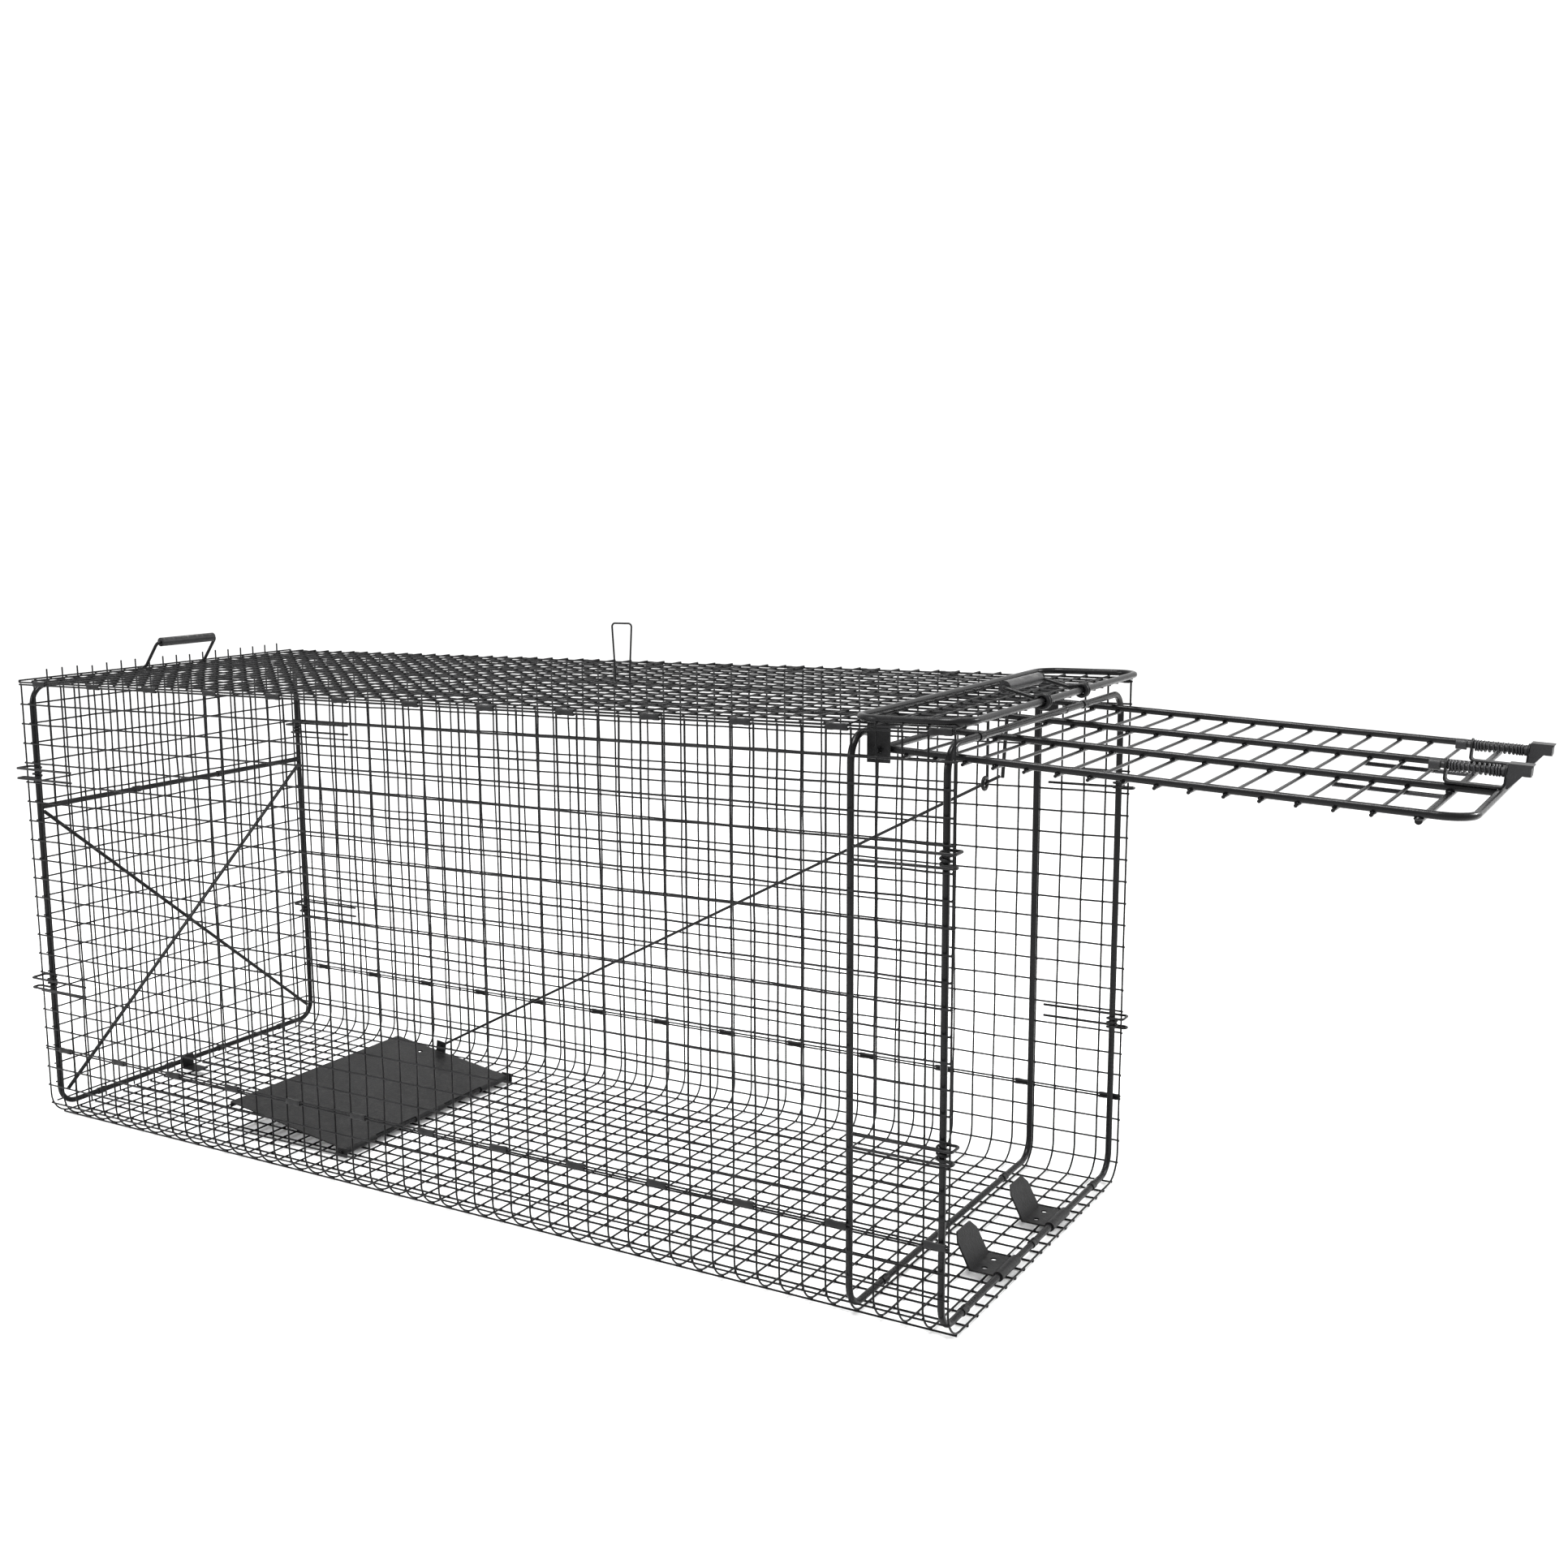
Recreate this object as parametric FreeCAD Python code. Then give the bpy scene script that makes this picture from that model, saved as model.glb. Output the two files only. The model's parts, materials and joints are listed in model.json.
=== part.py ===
"""Live catch trap: a folding cage of welded mesh with one drop door, its latch, treadle and trigger rod.

Millimetres, +X towards the door, +Z up. The origin is on the ground at the middle of the cage's footprint.
Every sub-part is written to parts/NODE.step. The door stands open, as the trap is when it is set.
"""
import FreeCAD, Part
import math
import os

V = FreeCAD.Vector
X_AXIS = V(1, 0, 0)
Y_AXIS = V(0, 1, 0)
Z_AXIS = V(0, 0, 1)
SIDES = {"near": -1, "far": 1}

# Cage mesh
PITCH = 25.4
CELLS_LONG = 50
CELLS_WIDE = 20
SIDE_ROWS = 19
WIRE_R = 1.1
LAYER = 2 * WIRE_R + 0.02
HALF_LONG = CELLS_LONG * PITCH / 2
HALF_WIDE = CELLS_WIDE * PITCH / 2
EDGE_PAIR = 3.0

# Heights
FLOOR_WIRE_Z = WIRE_R + LAYER
TOP_WIRE_Z = 585.6
SIDE_TOP_Z = TOP_WIRE_Z - EDGE_PAIR
SIDE_BOTTOM_Z = SIDE_TOP_Z - SIDE_ROWS * PITCH
TRAY_TOP_Z = SIDE_BOTTOM_Z - EDGE_PAIR
TRAY_BEVEL = 18.7

# Rod frames
ROD_R = 3.5
POST_Y = 246.9
HOOP_BEND = 25.0
FRONT_HOOP_X = 626.0
FRONT_HOOP_Z = (10.2, TOP_WIRE_Z - 15.0)
STOP_HOOP_X = 531.0
STOP_HOOP_Z = (10.2, TOP_WIRE_Z - 10.0)
REAR_HOOP_X = -622.0
REAR_HOOP_Z = (19.0, TOP_WIRE_Z - 5.0)
REAR_BAR_Z = TOP_WIRE_Z - 163.0
BRACE_R = 2.5
TOP_FRAME_X = (533.4, 645.0)
TOP_FRAME_Y = 250.0
TOP_FRAME_Z = TOP_WIRE_Z + LAYER + WIRE_R + ROD_R + 0.05

# Door
PIVOT_X = 550.0
PIVOT_Z = TOP_WIRE_Z - 24.5
DOOR_DROP = 3.3
DOOR_LONG = 498.0
DOOR_HALF = 219.0
DOOR_PIN_BEND = 5.0
PIN_END_Y = 236.0
MID_ROD_Y = 71.0
CROSS_WIRE_R = 1.6
CROSS_WIRES = 15
CROSS_FIRST = 24.4
CROSS_STEP = 28.7
END_BAR_AT = 460.0
END_BAR_R = 3.0
DOUBLER_FROM = 365.0
DOUBLER_R = 2.4
LEVER_Y = 100.0
LEVER_R = 2.0
LEVER_LONG = 72.0

# Hinge brackets
BRACKET_X = (PIVOT_X - 11.5, PIVOT_X + 11.5)
BRACKET_Y = (206.0, 226.0, 228.0)
RIVET_X = (PIVOT_X - 6.0, PIVOT_X + 6.0)
RIVET_Y = 216.0

# Latch
BOLT_R = 3.0
BOLT_Z = PIVOT_Z + 18.5
CARRIER_FROM = 453.5
CARRIER_TO = 502.0
CARRIER_HALF = 5.0
CARRIER_EYE_R = 6.5
CARRIER_SHEET = 2.0
BOLT_TAIL_AT = 441.0
BOLT_TIP_AT = 521.0
COLLAR_AT = 497.7
BOLT_TRAVEL = 12.0
NOSE_TOP = 8.0
NOSE_LOW = 13.8
NOSE_HALF = 8.2
NOSE_SHEET = 1.2
SPRING_R = 4.6
SPRING_WIRE_R = 0.9
SPRING_TURNS = 12

# Strikes on the front bottom rod
STRIKE_Y = 75.0
STRIKE_HALF = 25.0
STRIKE_SHEET = 1.8
STRIKE_FOOT = 31.0
STRIKE_RISE = 35.0
STRIKE_LEAN = 17.5
STRIKE_CORNER = 9.0

# Treadle and trigger
AXLE_X = -190.0
AXLE_Z = 10.0
AXLE_R = 2.5
TREADLE_LONG = 195.0
TREADLE_HALF = 170.0
TREADLE_SHEET = 1.5
TREADLE_TILT = 8.2
LUG_AT = 115.0
LUG_HOLE_Z = 9.0
TRIGGER_R = 1.75
TRIGGER_TIP = V(PIVOT_X - 7.4, LEVER_Y, PIVOT_Z - 70.5)

# Handles
BAIL_R = 2.2
BAIL_EYE_R = ROD_R + 0.3 + BAIL_R
GRIP_R = 6.0
FRONT_HANDLE_HALF = 53.0
FRONT_HANDLE_REACH = V(-43.0, 0, 11.5)
REAR_HANDLE_HALF = 55.0
REAR_HANDLE_LONG = 53.0
REAR_HANDLE_LEAN = 37.0

# Hairpin locks
PIN_R = 1.5
PIN_EYE_R = ROD_R + 0.35 + PIN_R
PIN_HALF_GAP = 6.5
PIN_PRONG = 86.0
FRONT_PIN = {"towards": -1, "arm": 14.0, "offset": 14.0}
REAR_PIN = {"towards": 1, "arm": 19.0, "offset": 17.5}
PIN_HEIGHTS = {"upper": SIDE_TOP_Z - 4.5 * PITCH, "lower": SIDE_TOP_Z - 15.5 * PITCH}


def rod(start, end, radius):
    """A straight round bar between two points."""
    along = end - start
    return Part.makeCylinder(radius, along.Length, start, along)


def rounded_path(points, bends, closed):
    """The edges of a polyline with its corners rounded, in order, to the given bend radii."""
    count = len(points)
    corners = range(count) if closed else range(1, count - 1)
    rounded = {}
    for k, bend in zip(corners, bends):
        back = (points[k - 1] - points[k]).normalize()
        ahead = (points[(k + 1) % count] - points[k]).normalize()
        half = back.getAngle(ahead) / 2
        reach = bend / math.tan(half)
        inward = (back + ahead).normalize() * (bend / math.sin(half) - bend)
        rounded[k] = (points[k] + back * reach, points[k] + inward, points[k] + ahead * reach)
    edges = []
    for k in range(count if closed else count - 1):
        following = (k + 1) % count
        start = rounded[k][2] if k in rounded else points[k]
        end = rounded[following][0] if following in rounded else points[following]
        edges.append(Part.makeLine(start, end))
        if following in rounded:
            edges.append(Part.Arc(*rounded[following]).toShape())
    return edges


def bent_rod(points, radius, bend, closed=False):
    """A round bar bent along a polyline, with one bend radius or one for each corner."""
    bends = bend if isinstance(bend, tuple) else (bend,) * len(points)
    edges = rounded_path(points, bends, closed)
    start = edges[0].valueAt(edges[0].FirstParameter)
    along = edges[0].tangentAt(edges[0].FirstParameter)
    profile = Part.Wire(Part.makeCircle(radius, start, along))
    return Part.Wire(edges).makePipeShell([profile], True, False)


def tube(start, end, inner, outer):
    """A round tube between two points."""
    return rod(start, end, outer).cut(rod(start, end, inner))


def block(low, high):
    """A box between two opposite corners."""
    size = high - low
    return Part.makeBox(size.x, size.y, size.z, low)


def prism(outline, depth):
    """A flat outline pushed along a vector."""
    return Part.Face(Part.makePolygon(outline + outline[:1])).extrude(depth)


def steps(first, count, step=PITCH):
    """Evenly spaced positions."""
    return [first + step * k for k in range(count)]


def save(name, shapes, drop=0.0):
    """Write one node's solids to its STEP file, first turned down about the door's pivot by an angle."""
    node = Part.makeCompound([solid for shape in shapes for solid in shape.Solids])
    node.rotate(V(PIVOT_X, 0, PIVOT_Z), Y_AXIS, drop)
    node.exportStep("parts/" + name + ".step")


def mitred(points, radius):
    """A round bar along a polyline as straight pieces whose ends meet on the mitre planes."""
    pieces = []
    for k in range(len(points) - 1):
        along = (points[k + 1] - points[k]).normalize()
        piece = rod(points[k] - along * radius, points[k + 1] + along * radius, radius)
        for end, other in ((k, k - 1), (k + 1, k + 2)):
            outward = along * (1 if end == k + 1 else -1)
            facing = outward
            if 0 <= other < len(points):
                facing = outward + (points[other] - points[end]).normalize()
            plate = Part.makeBox(8, 8, 8, V(-4, -4, 0))
            plate.Placement = FreeCAD.Placement(points[end], FreeCAD.Rotation(Z_AXIS, facing))
            piece = piece.cut(plate)
        pieces.append(piece)
    return pieces


def tray():
    """The floor with its turned-up edges: cross wires bent into a U, long wires welded outside them."""
    wall = HALF_WIDE - LAYER
    outline = [V(0, -wall, TRAY_TOP_Z + WIRE_R), V(0, -wall, FLOOR_WIRE_Z + TRAY_BEVEL)]
    outline.append(V(0, -wall + TRAY_BEVEL, FLOOR_WIRE_Z))
    outline += [V(0, -p.y, p.z) for p in reversed(outline)]
    pieces = mitred(outline, WIRE_R)
    wires = []
    for x in steps(-HALF_LONG, CELLS_LONG + 1):
        wires += [piece.translated(V(x, 0, 0)) for piece in pieces]
    bevel_y = wall - TRAY_BEVEL / 2 + LAYER / math.sqrt(2)
    bevel_z = FLOOR_WIRE_Z + TRAY_BEVEL / 2 - LAYER / math.sqrt(2)
    runs = [(y, WIRE_R) for y in steps(-9 * PITCH, 19)]
    for side in SIDES.values():
        runs.append((side * bevel_y, bevel_z))
        runs += [(side * HALF_WIDE, z) for z in steps(TRAY_TOP_Z, 3, -PITCH)]
    wires += [long_wire(y, z) for y, z in runs]
    return wires


def long_wire(y, z):
    """One mesh wire along the whole cage."""
    end = HALF_LONG + WIRE_R
    return rod(V(-end, y, z), V(end, y, z), WIRE_R)


def side_panel(side):
    """One side mesh: upright wires inside, long wires outside."""
    y = side * (HALF_WIDE - LAYER)
    wires = [long_wire(side * HALF_WIDE, z) for z in steps(SIDE_TOP_Z, SIDE_ROWS + 1, -PITCH)]
    for x in steps(-HALF_LONG, CELLS_LONG + 1):
        wires.append(rod(V(x, y, SIDE_BOTTOM_Z - WIRE_R), V(x, y, SIDE_TOP_Z + WIRE_R), WIRE_R))
    return wires


def top_panel():
    """The roof mesh: long wires below, cross wires above."""
    wires = [long_wire(y, TOP_WIRE_Z) for y in steps(-HALF_WIDE, CELLS_WIDE + 1)]
    end = HALF_WIDE + WIRE_R
    z = TOP_WIRE_Z + LAYER
    return wires + [rod(V(x, -end, z), V(x, end, z), WIRE_R) for x in steps(-HALF_LONG, CELLS_LONG + 1)]


def rear_mesh():
    """The rear mesh, behind its rod frame. The upright ends stand up past the roof."""
    x = REAR_HOOP_X - ROD_R - WIRE_R - 0.05
    wires = [rod(V(x, y, 8.0), V(x, y, TOP_WIRE_Z + 15.0), WIRE_R) for y in steps(-8.5 * PITCH, 18)]
    x -= LAYER
    half = POST_Y + 2.0
    for z in steps(SIDE_TOP_Z - PITCH, 22, -PITCH):
        wires.append(rod(V(x, -half, z), V(x, half, z), WIRE_R))
    return wires


def hoop(x, heights):
    """A closed rod frame across the cage."""
    low, high = heights
    corners = [V(x, -POST_Y, low), V(x, POST_Y, low), V(x, POST_Y, high), V(x, -POST_Y, high)]
    return bent_rod(corners, ROD_R, HOOP_BEND, closed=True)


def edge_clips(y, z):
    """The wrapped sheet clips that tie two edge wires, one on every fourth cell."""
    half_x = PITCH / 2 - WIRE_R - 0.6
    sheet = 0.8
    inner_y = WIRE_R + 0.1
    inner_z = EDGE_PAIR / 2 + WIRE_R + 0.1
    clips = []
    for x in steps(HALF_LONG - PITCH / 2, 13, -4 * PITCH):
        shell = block(V(x - half_x, y - inner_y - sheet, z - inner_z - sheet),
                      V(x + half_x, y + inner_y + sheet, z + inner_z + sheet))
        hollow = block(V(x - half_x - 1, y - inner_y, z - inner_z),
                       V(x + half_x + 1, y + inner_y, z + inner_z))
        outer = [edge for edge in shell.Edges if abs(edge.tangentAt(edge.FirstParameter).x) > 0.9]
        clips.append(shell.makeFillet(1.2, outer).cut(hollow))
    return clips


def rod_clips(x, z, places, half=6.0):
    """Sheet wraps round a rod that runs across the cage."""
    return [tube(V(x, y - half, z), V(x, y + half, z), ROD_R + 0.02, ROD_R + 1.0) for y in places]


def strike(side):
    """The plate a bolt snaps behind: wrapped round the front rod, with a foot and a leaning upright."""
    x, z = FRONT_HOOP_X, FRONT_HOOP_Z[0]
    y = side * STRIKE_Y
    fold = x - STRIKE_FOOT
    low = y - STRIKE_HALF
    wrap = rod(V(x, low, z), V(x, y + STRIKE_HALF, z), ROD_R + STRIKE_SHEET)
    profile = [V(x, low, z - STRIKE_SHEET / 2), V(fold, low, z - STRIKE_SHEET / 2)]
    profile.append(V(fold - STRIKE_LEAN, low, z + STRIKE_RISE))
    profile.append(V(fold - STRIKE_LEAN + STRIKE_SHEET, low, z + STRIKE_RISE))
    profile += [V(fold + STRIKE_SHEET, low, z + STRIKE_SHEET / 2), V(x, low, z + STRIKE_SHEET / 2)]
    plate = wrap.fuse(prism(profile, V(0, 2 * STRIKE_HALF, 0)))
    plate = plate.cut(rod(V(x, low - 1, z), V(x, y + STRIKE_HALF + 1, z), ROD_R + 0.02))
    for end in (-1, 1):
        centre = V(fold + 12, y + end * STRIKE_HALF / 2, z - 5)
        plate = plate.cut(rod(centre, centre + Z_AXIS * 10, 3.2))
        corner = V(fold - STRIKE_LEAN - 3, y + end * STRIKE_HALF, z + STRIKE_RISE + 1)
        outline = [corner, corner - Y_AXIS * (end * STRIKE_CORNER), corner - Z_AXIS * STRIKE_CORNER]
        plate = plate.cut(prism(outline, V(10, 0, 0)))
    return plate


def hinge_bracket(side):
    """A hanging plate with the bore the door turns in, and a flange under the roof mesh."""
    inner, face, outer = (side * y for y in BRACKET_Y)
    top = TOP_WIRE_Z - WIRE_R - 0.4
    plate = block(V(BRACKET_X[0], min(face, outer), PIVOT_Z - 12.5), V(BRACKET_X[1], max(face, outer), top))
    flange = block(V(BRACKET_X[0], min(inner, outer), top - 2), V(BRACKET_X[1], max(inner, outer), top))
    bore = rod(V(PIVOT_X, side * 220, PIVOT_Z), V(PIVOT_X, side * 232, PIVOT_Z), ROD_R + 0.08)
    bracket = plate.fuse(flange).cut(bore)
    for x in RIVET_X:
        foot = V(x, side * RIVET_Y, top - 3)
        bracket = bracket.cut(rod(foot, foot + Z_AXIS * 4, 2.0))
    return bracket


def bracket_rivets(side):
    """The rivets that hold a hinge bracket up."""
    rivets = []
    for x in RIVET_X:
        foot = V(x, side * RIVET_Y, TOP_WIRE_Z - WIRE_R - 4.2)
        rivets.append(rod(foot, foot + Z_AXIS * 3.8, 1.95).fuse(rod(foot, foot + Z_AXIS * 1.75, 3.6)))
    return rivets


def door_frame():
    """The door's outer rod, bent out at both ends into the pins it turns on."""
    end = PIVOT_X + DOOR_LONG
    corners = [V(PIVOT_X, -PIN_END_Y, PIVOT_Z), V(PIVOT_X, -DOOR_HALF, PIVOT_Z), V(end, -DOOR_HALF, PIVOT_Z)]
    corners += [V(p.x, -p.y, p.z) for p in reversed(corners)]
    return bent_rod(corners, ROD_R, (DOOR_PIN_BEND, HOOP_BEND, HOOP_BEND, DOOR_PIN_BEND))


def latch_carrier(y):
    """The strap on a middle rod, bent up at both ends into the eyes that carry the bolt."""
    low = PIVOT_X + CARRIER_FROM
    high = PIVOT_X + CARRIER_TO
    base_z = PIVOT_Z + ROD_R + 0.05
    strap = block(V(low, y - CARRIER_HALF, base_z), V(high, y + CARRIER_HALF, base_z + CARRIER_SHEET))
    for x in (low, high - CARRIER_SHEET):
        inside = x + CARRIER_SHEET
        strap = strap.fuse(block(V(x, y - CARRIER_HALF, base_z), V(inside, y + CARRIER_HALF, BOLT_Z)))
        strap = strap.fuse(rod(V(x, y, BOLT_Z), V(inside, y, BOLT_Z), CARRIER_EYE_R))
    return strap.cut(rod(V(low - 1, y, BOLT_Z), V(high + 1, y, BOLT_Z), BOLT_R + 0.08))


def latch_bolt(y):
    """The bolt: a bar with a tail knob, a collar for the spring and a folded nose with sloping cheeks.

    The nose is open behind and below, so the carrier's front eye passes between its cheeks.
    """
    tail = V(PIVOT_X + BOLT_TAIL_AT, y, BOLT_Z)
    collar = V(PIVOT_X + COLLAR_AT, y, BOLT_Z)
    rear = PIVOT_X + CARRIER_TO + 0.4
    tip = PIVOT_X + BOLT_TIP_AT
    low = y - NOSE_HALF
    high = y + NOSE_HALF
    top = BOLT_Z + NOSE_TOP
    block_rear = rear + BOLT_TRAVEL
    bolt = rod(tail, V(tip - 1, y, BOLT_Z), BOLT_R)
    bolt = bolt.fuse(rod(tail, tail + X_AXIS * 9, 5.0))
    bolt = bolt.fuse(rod(collar, collar + X_AXIS * 2, 5.0))
    bolt = bolt.fuse(block(V(rear, low, top - NOSE_SHEET), V(tip, high, top)))
    bolt = bolt.fuse(block(V(block_rear, low, BOLT_Z - 2), V(tip - 1, high, top)))
    for start in (low, high - NOSE_SHEET):
        cheek = [V(rear, start, top), V(tip, start, top), V(tip, start, top - NOSE_SHEET)]
        cheek += [V(rear + 1.5, start, BOLT_Z - NOSE_LOW), V(rear, start, BOLT_Z - NOSE_LOW)]
        bolt = bolt.fuse(prism(cheek, V(0, NOSE_SHEET, 0)))
    return bolt


def latch_spring(y):
    """The coil spring between the rear upright and the bolt's collar."""
    start = PIVOT_X + CARRIER_FROM + CARRIER_SHEET + SPRING_WIRE_R + 0.1
    length = PIVOT_X + COLLAR_AT - SPRING_WIRE_R - 0.1 - start
    helix = Part.makeHelix(length / SPRING_TURNS, length, SPRING_R)
    profile = Part.Wire(Part.makeCircle(SPRING_WIRE_R, V(SPRING_R, 0, 0), Y_AXIS))
    coil = Part.Wire(helix).makePipeShell([profile], True, True)
    coil.rotate(V(0, 0, 0), Y_AXIS, 90)
    return coil.translated(V(start, y, BOLT_Z))


def trip_lever():
    """The arm below the door's pivot rod that the trigger rod props."""
    top = V(PIVOT_X, LEVER_Y, PIVOT_Z - ROD_R)
    return rod(top, V(PIVOT_X, LEVER_Y, PIVOT_Z - LEVER_LONG), LEVER_R)


def treadle():
    """The folded plate: rolled round its axle at the front, edges turned down, a lug for the trigger rod."""
    low_y, high_y = -TREADLE_HALF, TREADLE_HALF
    rear = AXLE_X - TREADLE_LONG
    top = AXLE_Z + AXLE_R + 1.6
    plate = block(V(rear, low_y, top - TREADLE_SHEET), V(AXLE_X, high_y, top))
    for start, end in ((low_y, low_y + 60), (-30, 30), (high_y - 60, high_y)):
        plate = plate.fuse(rod(V(AXLE_X, start, AXLE_Z), V(AXLE_X, end, AXLE_Z), AXLE_R + 1.6))
    plate = plate.fuse(block(V(rear, low_y, top - 8), V(rear + TREADLE_SHEET, high_y, top)))
    lug = AXLE_X - LUG_AT
    outer = high_y - TREADLE_SHEET
    ear = block(V(lug - 8, outer, top - TREADLE_SHEET), V(lug + 8, high_y, top + LUG_HOLE_Z + 6))
    plate = plate.fuse(ear)
    pin = V(lug, outer - 1, top + LUG_HOLE_Z)
    plate = plate.cut(rod(pin, pin + Y_AXIS * 4, TRIGGER_R + 0.08))
    plate = plate.cut(rod(V(AXLE_X, low_y - 1, AXLE_Z), V(AXLE_X, high_y + 1, AXLE_Z), AXLE_R + 0.08))
    hole = V(lug - 20, high_y - 22, top - 4)
    plate = plate.cut(rod(hole, hole + Z_AXIS * 8, 3.5))
    plate.rotate(V(AXLE_X, 0, AXLE_Z), Y_AXIS, TREADLE_TILT)
    return plate


def lug_hole():
    """Where the trigger rod passes through the tilted treadle's lug."""
    tilt = math.radians(TREADLE_TILT)
    rise = AXLE_R + 1.6 + LUG_HOLE_Z
    x = AXLE_X - LUG_AT * math.cos(tilt) + rise * math.sin(tilt)
    return V(x, TREADLE_HALF, AXLE_Z + LUG_AT * math.sin(tilt) + rise * math.cos(tilt))


def trigger_rod():
    """The long rod from the treadle's lug to the door's trip lever."""
    hole = lug_hole()
    outside = hole + Y_AXIS * 5
    return bent_rod([hole - Y_AXIS * 6, outside, TRIGGER_TIP], TRIGGER_R, 3.0)


def trigger_guide():
    """The wire eye under the stop hoop's top bar for the trigger rod, its stem clear of the trip lever."""
    x = STOP_HOOP_X - ROD_R - 2.1
    hole = lug_hole()
    share = (x - hole.x) / (TRIGGER_TIP.x - hole.x)
    centre = V(x, LEVER_Y + 1.5, hole.z + (TRIGGER_TIP.z - hole.z) * share)
    ring = Part.makeTorus(6.5, 2.0, centre, X_AXIS)
    foot = centre + Y_AXIS * 6.5
    return ring.fuse(rod(foot, V(x, foot.y, STOP_HOOP_Z[1] + ROD_R), 1.6))


def axle_bearing(side):
    """A small upright on the floor that holds one end of the treadle's axle."""
    y = side * (TREADLE_HALF + 3)
    plate = block(V(AXLE_X - 8, y - 1, FLOOR_WIRE_Z + WIRE_R + 0.05), V(AXLE_X + 8, y + 1, AXLE_Z + 6))
    return plate.cut(rod(V(AXLE_X, y - 2, AXLE_Z), V(AXLE_X, y + 2, AXLE_Z), AXLE_R + 0.02))


def bail(hinge, grip, half):
    """A wire bail: an eye round a rod at each end, and a straight run through the grip."""
    eyes = []
    ends = []
    for side in (-1, 1):
        centre = V(hinge.x, side * half, hinge.z)
        towards = V(grip.x - hinge.x, 0, grip.z - hinge.z).normalize()
        eyes.append(Part.makeTorus(BAIL_EYE_R, BAIL_R, centre, Y_AXIS))
        ends.append(centre + towards * BAIL_EYE_R)
    wire = bent_rod([ends[0], V(grip.x, -half, grip.z), V(grip.x, half, grip.z), ends[1]], BAIL_R, 5.0)
    return wire.fuse(eyes)


def grip_tube(grip, half):
    """The tube grip on a bail."""
    reach = Y_AXIS * (half - 6)
    return tube(grip - reach, grip + reach, BAIL_R + 0.1, GRIP_R)


def hairpin(x, side, z, towards, arm, offset):
    """A locking wire: two eyes round a post, led past the edge wire and back along the mesh's outside."""
    post = V(x, side * POST_Y, z)
    back = post - X_AXIS * (towards * PIN_EYE_R)
    pin = rod(back - Z_AXIS * PIN_HALF_GAP, back + Z_AXIS * PIN_HALF_GAP, PIN_R)
    for level in (-PIN_HALF_GAP, PIN_HALF_GAP):
        eye = post + Z_AXIS * level
        corner = eye - X_AXIS * (towards * arm)
        outside = corner + Y_AXIS * (side * offset)
        tip = V(x + towards * PIN_PRONG, outside.y, outside.z)
        leg = bent_rod([eye - X_AXIS * (towards * PIN_EYE_R), corner, outside, tip], PIN_R, 4.0)
        pin = pin.fuse([leg, Part.makeTorus(PIN_EYE_R, PIN_R, eye, Z_AXIS)])
    return pin


def keeper_loop():
    """The inverted-U wire loop on the roof, with an eye round the middle roof wire at each foot."""
    feet = (113.8, 133.8)
    shoulders = (110.3, 137.3)
    high = TOP_WIRE_Z + 70.5
    eyes = [Part.makeTorus(2.6, WIRE_R, V(x, 0, TOP_WIRE_Z), X_AXIS) for x in feet]
    wire = bent_rod([V(feet[0], 0, TOP_WIRE_Z + 2.6), V(feet[0], 0, TOP_WIRE_Z + 14),
                     V(shoulders[0], 0, high), V(shoulders[1], 0, high),
                     V(feet[1], 0, TOP_WIRE_Z + 14), V(feet[1], 0, TOP_WIRE_Z + 2.6)], WIRE_R, 4.0)
    return wire.fuse(eyes)


def rear_stop():
    """The small L plate on the middle of the rear bottom bar."""
    x = REAR_HOOP_X + ROD_R + 0.1
    upright = block(V(x, -30, 9.0), V(x + 2, -10, 28.0))
    return upright.fuse(block(V(x, -30, 9.0), V(x + 30, -10, 11.0)))


def save_cage():
    """The five mesh panels and the clips along their edges."""
    save("floor_tray_mesh", tray())
    save("roof_mesh", top_panel())
    save("rear_mesh", rear_mesh())
    for name, side in SIDES.items():
        save("side_mesh_" + name, side_panel(side))
        save("roof_edge_clips_" + name, edge_clips(side * HALF_WIDE, TOP_WIRE_Z - EDGE_PAIR / 2))
        save("tray_edge_clips_" + name, edge_clips(side * HALF_WIDE, SIDE_BOTTOM_Z - EDGE_PAIR / 2))


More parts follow.
